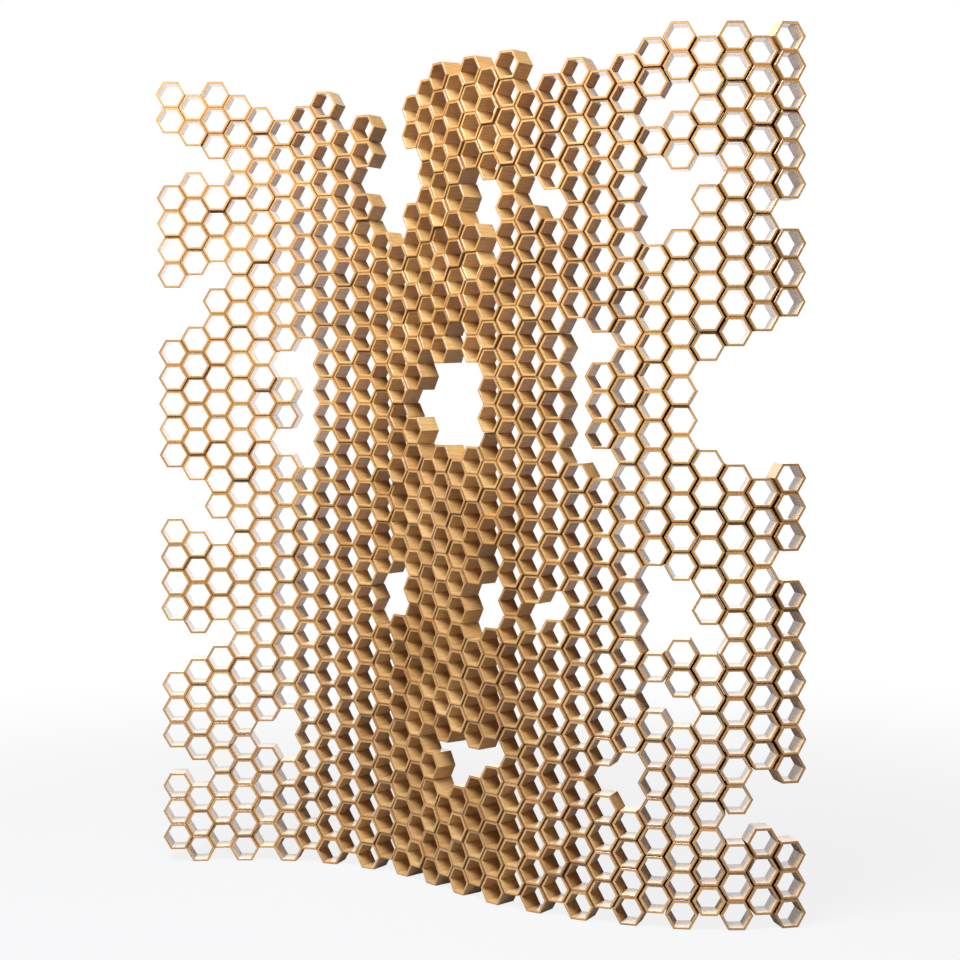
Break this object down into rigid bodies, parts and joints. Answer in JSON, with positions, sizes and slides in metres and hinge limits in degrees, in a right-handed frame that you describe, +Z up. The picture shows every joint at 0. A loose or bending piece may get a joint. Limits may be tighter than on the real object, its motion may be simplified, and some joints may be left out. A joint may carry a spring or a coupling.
{
  "type": "honeycomb room screen",
  "caption": "Free-standing S-curved room screen of stacked six-sided wooden tubes, in hinged leaves, with cell-sized holes and a ragged top.",
  "frame": {"origin": "centre of the overall box in plan, on the floor", "axes": "+Z up, -Y towards the viewer in front, +X along the screen to the viewer's right"},
  "size_m": [1.4176, 0.6536, 1.8594],
  "materials": {
    "laminated_wood": "satin lacquer over honey-brown laminate"
  },
  "bodies": {
    "leaf_01": {"leaf_01_tier_1": "laminated_wood", "leaf_01_tier_2": "laminated_wood", "leaf_01_tier_3": "laminated_wood", "leaf_01_tier_4": "laminated_wood", "leaf_01_tier_5": "laminated_wood", "leaf_01_tier_6": "laminated_wood"},
    "leaf_02": {"leaf_02_tier_1": "laminated_wood"},
    "leaf_03": {"leaf_03_tier_1": "laminated_wood", "leaf_03_tier_2": "laminated_wood"},
    "leaf_04": {"leaf_04_tier_1": "laminated_wood"},
    "leaf_05": {"leaf_05_tier_1": "laminated_wood"},
    "leaf_06": {"leaf_06_tier_1": "laminated_wood", "leaf_06_tier_2": "laminated_wood"},
    "leaf_07": {"leaf_07_tier_1": "laminated_wood", "leaf_07_tier_2": "laminated_wood"},
    "leaf_08": {"leaf_08_tier_1": "laminated_wood", "leaf_08_tier_2": "laminated_wood", "leaf_08_tier_3": "laminated_wood"},
    "leaf_09": {"leaf_09_tier_1": "laminated_wood", "leaf_09_tier_2": "laminated_wood", "leaf_09_tier_3": "laminated_wood", "leaf_09_tier_4": "laminated_wood"},
    "leaf_10": {"leaf_10_tier_1": "laminated_wood"},
    "leaf_11": {"leaf_11_tier_1": "laminated_wood"},
    "leaf_12": {"leaf_12_tier_1": "laminated_wood", "leaf_12_tier_2": "laminated_wood"},
    "leaf_13": {"leaf_13_tier_1": "laminated_wood", "leaf_13_tier_2": "laminated_wood", "leaf_13_tier_3": "laminated_wood", "leaf_13_tier_4": "laminated_wood", "leaf_13_tier_5": "laminated_wood"},
    "leaf_14": {"leaf_14_tier_1": "laminated_wood", "leaf_14_tier_2": "laminated_wood"},
    "leaf_15": {"leaf_15_tier_1": "laminated_wood", "leaf_15_tier_2": "laminated_wood", "leaf_15_tier_3": "laminated_wood"}
  },
  "joints": [
    {"name": "seam_01_02", "type": "hinge", "parent": "leaf_02", "child": "leaf_01", "pos_m": [-0.59533, 0.27368, 0], "axis": [0, 0, 1], "range_deg": [0, 18]},
    {"name": "seam_02_03", "type": "hinge", "parent": "leaf_03", "child": "leaf_02", "pos_m": [-0.49144, 0.27622, 0], "axis": [0, 0, 1], "range_deg": [-7, 11]},
    {"name": "seam_03_04", "type": "hinge", "parent": "leaf_04", "child": "leaf_03", "pos_m": [-0.38802, 0.26608, 0], "axis": [0, 0, 1], "range_deg": [-13, 5]},
    {"name": "seam_04_05", "type": "hinge", "parent": "leaf_05", "child": "leaf_04", "pos_m": [-0.28952, 0.23294, 0], "axis": [0, 0, 1], "range_deg": [-11, 7]},
    {"name": "seam_05_06", "type": "hinge", "parent": "leaf_06", "child": "leaf_05", "pos_m": [-0.19916, 0.1816, 0], "axis": [0, 0, 1], "range_deg": [-13, 5]},
    {"name": "seam_06_07", "type": "hinge", "parent": "leaf_07", "child": "leaf_06", "pos_m": [-0.12266, 0.11126, 0], "axis": [0, 0, 1], "range_deg": [-10, 8]},
    {"name": "seam_07_08", "type": "hinge", "parent": "leaf_08", "child": "leaf_07", "pos_m": [-0.05954, 0.0287, 0], "axis": [0, 0, 1], "range_deg": [0, 18]},
    {"name": "seam_08_09", "type": "hinge", "parent": "leaf_08", "child": "leaf_09", "pos_m": [0.0433, -0.02349, 0], "axis": [0, 0, 1], "range_deg": [-6, 12]},
    {"name": "seam_09_10", "type": "hinge", "parent": "leaf_09", "child": "leaf_10", "pos_m": [0.1147, -0.09899, 0], "axis": [0, 0, 1], "range_deg": [-10, 8]},
    {"name": "seam_10_11", "type": "hinge", "parent": "leaf_10", "child": "leaf_11", "pos_m": [0.19813, -0.16096, 0], "axis": [0, 0, 1], "range_deg": [-7, 11]},
    {"name": "seam_11_12", "type": "hinge", "parent": "leaf_11", "child": "leaf_12", "pos_m": [0.2885, -0.21229, 0], "axis": [0, 0, 1], "range_deg": [-8, 10]},
    {"name": "seam_12_13", "type": "hinge", "parent": "leaf_12", "child": "leaf_13", "pos_m": [0.38512, -0.25055, 0], "axis": [0, 0, 1], "range_deg": [-9, 9]},
    {"name": "seam_13_14", "type": "hinge", "parent": "leaf_13", "child": "leaf_14", "pos_m": [0.48654, -0.27322, 0], "axis": [0, 0, 1], "range_deg": [-11, 7]},
    {"name": "seam_14_15", "type": "hinge", "parent": "leaf_14", "child": "leaf_15", "pos_m": [0.59042, -0.27612, 0], "axis": [0, 0, 1], "range_deg": [-10, 8]}
  ]
}
